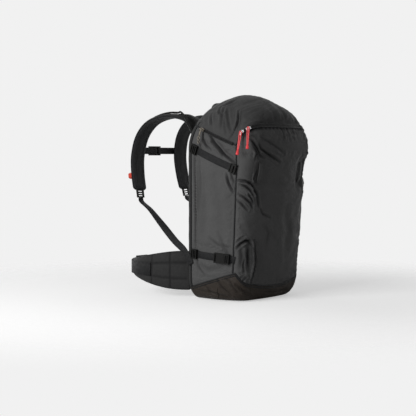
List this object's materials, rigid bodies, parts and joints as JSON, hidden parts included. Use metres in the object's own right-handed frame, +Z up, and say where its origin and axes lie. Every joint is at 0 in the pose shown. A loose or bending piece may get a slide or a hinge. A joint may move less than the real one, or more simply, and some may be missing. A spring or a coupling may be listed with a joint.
{
  "type": "avalanche airbag backpack",
  "caption": "Ski-touring airbag backpack: boxy panelled shell with arched front zip, side compression straps, shaped harness, belt, and an inflator inside.",
  "frame": {"origin": "centre of the bounding box at its base, on the plane the pack stands on", "axes": "+Z up, -Y the outer front panel, +Y the harness side, -X the wearer's left"},
  "size_m": [0.3356, 0.508, 0.5755],
  "materials": {
    "shell_cloth": "woven",
    "lid_cloth": "woven",
    "base_cloth": "coated",
    "harness_pad": "padded",
    "spacer_mesh": "open mesh",
    "webbing": "woven",
    "acetal": "moulded",
    "zip_tape": "coated",
    "slider_metal": "bright",
    "pull_cord": "cord",
    "frame_plastic": "sheet",
    "cylinder_alloy": "brushed",
    "trigger_plastic": "moulded",
    "airbag_nylon": "folded"
  },
  "bodies": {
    "pack": {"base_panel": "base_cloth", "back_wall": "lid_cloth", "side_panel_left": "shell_cloth", "side_panel_right": "shell_cloth", "lid_panel": "lid_cloth", "front_panel": "shell_cloth", "main_zip": "zip_tape", "airbag_zip": "zip_tape", "main_slider_rear": "slider_metal", "back_pad": "spacer_mesh", "frame_sheet": "frame_plastic", "air_cylinder": "cylinder_alloy", "inflator_head": "cylinder_alloy", "airbag_shelf": "lid_cloth", "airbag_folded": "airbag_nylon", "trigger_cable": "acetal", "shoulder_strap_left": "harness_pad", "shoulder_strap_right": "harness_pad", "load_lifter_left": "webbing", "load_lifter_right": "webbing", "strap_adjuster_left": "acetal", "strap_adjuster_right": "acetal", "strap_webbing_left": "webbing", "strap_webbing_right": "webbing", "upper_strap_left": "webbing", "upper_strap_right": "webbing", "upper_lock_left": "acetal", "upper_lock_right": "acetal", "lower_strap_left": "webbing", "lower_strap_right": "webbing", "lower_lock_left": "acetal", "lower_lock_right": "acetal", "lower_socket_left": "acetal", "lower_socket_right": "acetal", "lower_tail_left": "webbing", "lower_tail_right": "webbing", "tool_loop_left": "webbing", "tool_loop_right": "webbing"},
    "trigger_lever": {"trigger_lever": "trigger_plastic"},
    "trigger_handle": {"trigger_handle": "trigger_plastic"},
    "chest_strap": {"sternum_webbing_left": "webbing", "sternum_webbing_right": "webbing", "sternum_socket": "acetal"},
    "chest_plug": {"sternum_plug": "acetal"},
    "belt_left": {"hip_wing_left": "harness_pad", "hip_webbing_left": "webbing", "hip_socket": "acetal"},
    "belt_right": {"hip_wing_right": "harness_pad", "hip_webbing_right": "webbing", "hip_plug": "acetal"},
    "haul_loop": {"haul_loop": "webbing"},
    "zip_pull_rear": {"zip_pull_rear": "pull_cord"},
    "main_slider_front": {"main_slider_front": "slider_metal"},
    "zip_pull_front": {"zip_pull_front": "pull_cord"},
    "airbag_slider": {"airbag_slider": "slider_metal"},
    "airbag_slider_tab": {"airbag_slider_tab": "slider_metal"},
    "upper_hook_left": {"upper_hook_left": "acetal"},
    "upper_hook_right": {"upper_hook_right": "acetal"},
    "lower_plug_left": {"lower_plug_left": "acetal"},
    "lower_plug_right": {"lower_plug_right": "acetal"}
  },
  "joints": [
    {"name": "trigger_lever_pivot", "type": "hinge", "parent": "pack", "child": "trigger_lever", "pos_m": [0.01551, -0.04284, 0.3536], "axis": [0, 1, 0], "range_deg": [0, 32]},
    {"name": "trigger_handle_pull", "type": "slide", "parent": "pack", "child": "trigger_handle", "axis": [-0.0681, -0.1594, -0.9849], "range_m": [0, 0.045]},
    {"name": "chest_strap_height", "type": "slide", "parent": "pack", "child": "chest_strap", "axis": [0, 0, 1], "range_m": [0, 0.025]},
    {"name": "chest_buckle_release", "type": "slide", "parent": "chest_strap", "child": "chest_plug", "axis": [1, 0, 0], "range_m": [0, 0.03]},
    {"name": "belt_swing_left", "type": "hinge", "parent": "pack", "child": "belt_left", "pos_m": [-0.10949, 0.00236, 0.076], "axis": [0, 0, 1], "range_deg": [-2, 40]},
    {"name": "belt_swing_right", "type": "hinge", "parent": "pack", "child": "belt_right", "pos_m": [0.11451, 0.00236, 0.076], "axis": [0, 0, -1], "range_deg": [-2, 40]},
    {"name": "haul_loop_fold", "type": "hinge", "parent": "pack", "child": "haul_loop", "pos_m": [0.00251, -0.02073, 0.522], "axis": [-1, 0, 0], "range_deg": [0, 80]},
    {"name": "main_zip_run", "type": "hinge", "parent": "pack", "child": "main_slider_front", "pos_m": [-0.08638, -0.1856, 0.46052], "axis": [0.0001, 0.4629, 0.8864], "range_deg": [0, 31]},
    {"name": "zip_pull_rear_swing", "type": "hinge", "parent": "pack", "child": "zip_pull_rear", "pos_m": [-0.14701, -0.20586, 0.47023], "axis": [-0.1085, 0.9941, 0], "range_deg": [0, 120]},
    {"name": "zip_pull_front_swing", "type": "hinge", "parent": "main_slider_front", "child": "zip_pull_front", "pos_m": [-0.13564, -0.22313, 0.48177], "axis": [-0.5347, 0.845, 0], "range_deg": [0, 120]},
    {"name": "airbag_slider_tab_swing", "type": "hinge", "parent": "airbag_slider", "child": "airbag_slider_tab", "pos_m": [-0.14879, -0.06736, 0.47982], "axis": [0.1168, 0.9932, 0], "range_deg": [0, 120]},
    {"name": "airbag_zip_run", "type": "hinge", "parent": "pack", "child": "airbag_slider", "pos_m": [0.17859, -0.14173, 0.45226], "axis": [-0.0056, -0.3436, 0.9391], "range_deg": [0, 9]},
    {"name": "upper_hook_swing_left", "type": "hinge", "parent": "pack", "child": "upper_hook_left", "pos_m": [-0.15104, -0.17439, 0.37192], "axis": [-0.0228, 0.3593, -0.933], "range_deg": [0, 85]},
    {"name": "upper_hook_swing_right", "type": "hinge", "parent": "pack", "child": "upper_hook_right", "pos_m": [0.15606, -0.17439, 0.37192], "axis": [-0.0228, -0.3593, 0.933], "range_deg": [0, 85]},
    {"name": "lower_buckle_release_left", "type": "slide", "parent": "pack", "child": "lower_plug_left", "axis": [0.1566, -0.9847, -0.0762], "range_m": [0, 0.018]},
    {"name": "lower_buckle_release_right", "type": "slide", "parent": "pack", "child": "lower_plug_right", "axis": [-0.1566, -0.9847, -0.0762], "range_m": [0, 0.018]}
  ]
}
